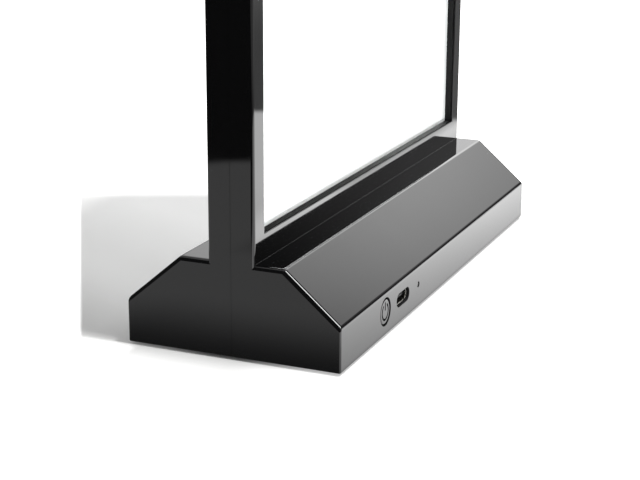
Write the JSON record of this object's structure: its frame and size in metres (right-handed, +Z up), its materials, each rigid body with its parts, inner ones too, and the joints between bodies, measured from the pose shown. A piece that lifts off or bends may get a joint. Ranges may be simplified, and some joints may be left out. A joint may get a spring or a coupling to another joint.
{
  "type": "illuminated table stand",
  "caption": "Slim upright light frame on a chamfered base, lit from the edge, for one A5 sheet on each side, with a push button and a charging socket.",
  "frame": {"origin": "on the table, under the middle of the base", "axes": "+Z up, +X along the stand's length, +Y from the controls towards the rear"},
  "size_m": [0.155, 0.0576, 0.2423],
  "materials": {
    "housing": "high gloss black moulding",
    "button": "gloss black moulding",
    "cover": "fine grained black moulding",
    "feet": "matt black rubber",
    "screws": "zinc plated",
    "window": "clear and polished",
    "sheet": "blank white sheet, lit from behind",
    "diffuser": "opal film",
    "light_guide": "clear acrylic with polished edges",
    "white_moulding": "plain white moulding",
    "lamp_strip": "white circuit board with small lamps",
    "circuit_board": "green varnished board",
    "black_component": "black moulded component",
    "socket_metal": "bright plated steel",
    "light_pipe": "clear",
    "indicator_lamp": "clear epoxy",
    "cell": "blue shrink sleeve over the can",
    "tabs": "nickel strip",
    "red_lead": "red insulation",
    "black_lead": "black insulation"
  },
  "bodies": {
    "stand": {"front_housing": "housing", "rear_housing": "housing", "bottom_cover": "cover", "foot_front_left": "feet", "foot_front_right": "feet", "foot_rear_left": "feet", "foot_rear_right": "feet", "cover_screw_front_left": "screws", "cover_screw_front_right": "screws", "cover_screw_rear_left": "screws", "cover_screw_rear_right": "screws", "board_screw_1": "screws", "board_screw_2": "screws", "board_screw_3": "screws", "board_screw_4": "screws", "front_window": "window", "rear_window": "window", "front_diffuser": "diffuser", "rear_diffuser": "diffuser", "light_guide": "light_guide", "light_carrier": "white_moulding", "lamp_strip": "lamp_strip", "circuit_board": "circuit_board", "charge_chip": "black_component", "coil": "black_component", "switch_body": "black_component", "port_shell": "socket_metal", "port_tongue": "black_component", "light_pipe": "light_pipe", "indicator_lamp": "indicator_lamp", "battery_cell": "cell", "battery_tab_positive": "tabs", "battery_tab_negative": "tabs", "battery_socket": "white_moulding", "battery_plug": "white_moulding", "battery_lead_positive": "red_lead", "battery_lead_negative": "black_lead", "lamp_lead_positive": "red_lead", "lamp_lead_negative": "black_lead"},
    "button": {"power_button": "button", "switch_plunger": "white_moulding"},
    "front_sheet": {"front_sheet": "sheet"},
    "rear_sheet": {"rear_sheet": "sheet"}
  },
  "joints": [
    {"name": "power_button_press", "type": "slide", "parent": "stand", "child": "button", "axis": [0, 1, 0], "range_m": [0, 0.0006], "stiffness_N_per_m": 400},
    {"name": "front_sheet_pull", "type": "slide", "parent": "stand", "child": "front_sheet", "axis": [0, 0, 1], "range_m": [0, 0.214]},
    {"name": "rear_sheet_pull", "type": "slide", "parent": "stand", "child": "rear_sheet", "axis": [0, 0, 1], "range_m": [0, 0.214]}
  ]
}
